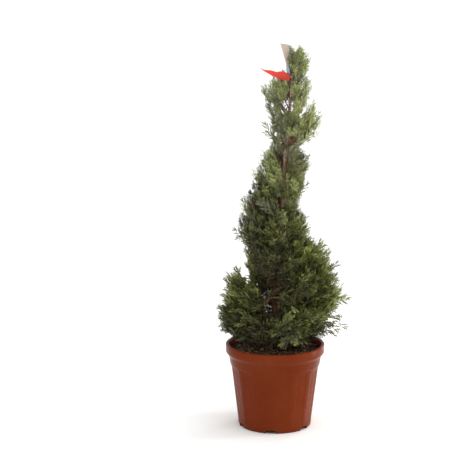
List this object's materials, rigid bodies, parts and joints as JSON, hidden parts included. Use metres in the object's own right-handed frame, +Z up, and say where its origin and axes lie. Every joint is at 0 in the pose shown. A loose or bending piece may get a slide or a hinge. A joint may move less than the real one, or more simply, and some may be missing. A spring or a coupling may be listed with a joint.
{
  "type": "spiral topiary in a pot",
  "caption": "Slender evergreen clipped into a left-handed spiral round one leaning stem, in a round tapered plant pot of potting mix, with a blank strap label looped near the tip.",
  "frame": {"origin": "the middle of the pot's flat underside, on the ground", "axes": "+Z up along the pot's axis, -Y towards the viewer of the picture, +X to that viewer's right, the way the stem leans"},
  "size_m": [0.364, 0.3568, 1.1083],
  "materials": {
    "pot_plastic": "satin terracotta-coloured moulded plastic",
    "potting_mix": "dark damp potting mix of bark and peat",
    "bark": "reddish-brown bark in thin vertical shreds",
    "foliage": "matt scale-leaf sprays, dark inside and yellow-green at the tips",
    "label_red": "red side of a plastic strap label, blank",
    "label_blue": "pale blue side of a plastic strap label, blank",
    "label_back": "tan back of a plastic strap label"
  },
  "bodies": {
    "root": {"pot": "pot_plastic", "soil": "potting_mix", "trunk": "bark", "bough_top_right": "bark", "bough_top_left": "bark", "bough_top_front": "bark", "bough_upper_right_low": "bark", "bough_upper_right_high": "bark", "bough_upper_left_low": "bark", "bough_upper_left_high": "bark", "bough_upper_front_low": "bark", "bough_upper_front_high": "bark", "bough_lower_right_low": "bark", "bough_lower_right_high": "bark", "bough_lower_left_low": "bark", "bough_lower_left_high": "bark", "bough_lower_front": "bark", "foliage_top_right": "foliage", "foliage_top_left": "foliage", "foliage_top_front": "foliage", "foliage_upper_right_low": "foliage", "foliage_upper_right_high": "foliage", "foliage_upper_left_low": "foliage", "foliage_upper_left_high": "foliage", "foliage_upper_front_low": "foliage", "foliage_upper_front_high": "foliage", "foliage_lower_right_low": "foliage", "foliage_lower_right_high": "foliage", "foliage_lower_left_low": "foliage", "foliage_lower_left_high": "foliage", "foliage_lower_front": "foliage", "label_flag": "label_red", "label_fold": "label_blue", "label_card": "label_back", "label_tail": "label_back"}
  },
  "joints": []
}
